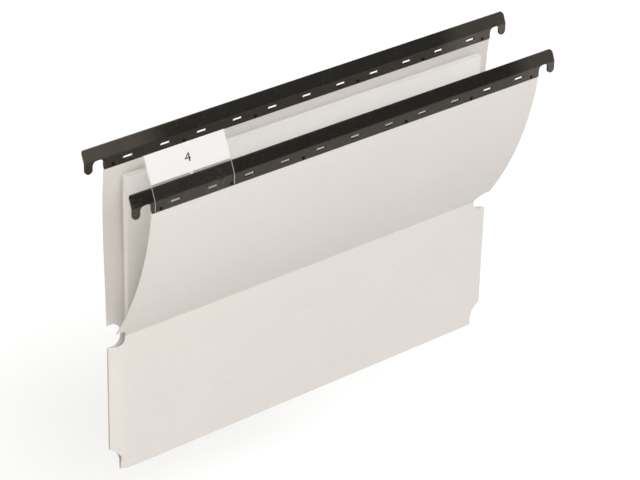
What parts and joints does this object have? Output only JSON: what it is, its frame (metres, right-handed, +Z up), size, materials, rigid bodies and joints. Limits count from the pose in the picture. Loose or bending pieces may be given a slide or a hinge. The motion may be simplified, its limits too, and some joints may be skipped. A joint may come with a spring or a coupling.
{
  "type": "hanging file folder",
  "caption": "Hanging file folder of scored card on folded steel rails with end hooks, a clear index tab and a sheaf of paper in its pocket.",
  "frame": {"origin": "middle of the rear rail, at the height where its two hooks sit on a rack", "axes": "+X along the rails, to the right seen from the front; +Y backward, from the front rail to the rear one; +Z up"},
  "size_m": [0.346, 0.0538, 0.2459],
  "materials": {
    "rail_steel": "gloss black paint",
    "card": "smooth matt pale warm grey",
    "clear_plastic": "clear gloss",
    "label_paper": "white matt",
    "sheaf_paper": "white matt"
  },
  "bodies": {
    "rear_half": {"rear_rail": "rail_steel", "rear_upper_panel": "card"},
    "rear_lower": {"rear_lower_panel": "card", "bottom_fold": "card"},
    "front_lower": {"front_lower_panel": "card"},
    "front_half": {"front_upper_panel": "card", "front_rail": "rail_steel"},
    "tab": {"label_tab": "clear_plastic"},
    "label": {"index_label": "label_paper"},
    "sheaf": {"paper_sheaf": "sheaf_paper"}
  },
  "joints": [
    {"name": "rear_crease", "type": "hinge", "parent": "rear_half", "child": "rear_lower", "pos_m": [0, 0.0002, -0.1268], "axis": [1, 0, 0], "range_deg": [0, 35]},
    {"name": "bottom_fold_hinge", "type": "hinge", "parent": "rear_lower", "child": "front_lower", "pos_m": [0, -0.00523, -0.22604], "axis": [1, 0, 0], "range_deg": [0, 100]},
    {"name": "front_crease", "type": "hinge", "parent": "front_lower", "child": "front_half", "pos_m": [0, -0.00523, -0.1268], "axis": [1, 0, 0], "range_deg": [-11, 80]},
    {"name": "tab_pull", "type": "slide", "parent": "front_half", "child": "tab", "axis": [0, -1, 0], "range_m": [0, 0.012]},
    {"name": "label_slide", "type": "slide", "parent": "tab", "child": "label", "axis": [-1, 0, 0], "range_m": [0, 0.055]},
    {"name": "sheaf_lift", "type": "slide", "parent": "rear_lower", "child": "sheaf", "axis": [0, 0, 1], "range_m": [0, 0.2]}
  ]
}
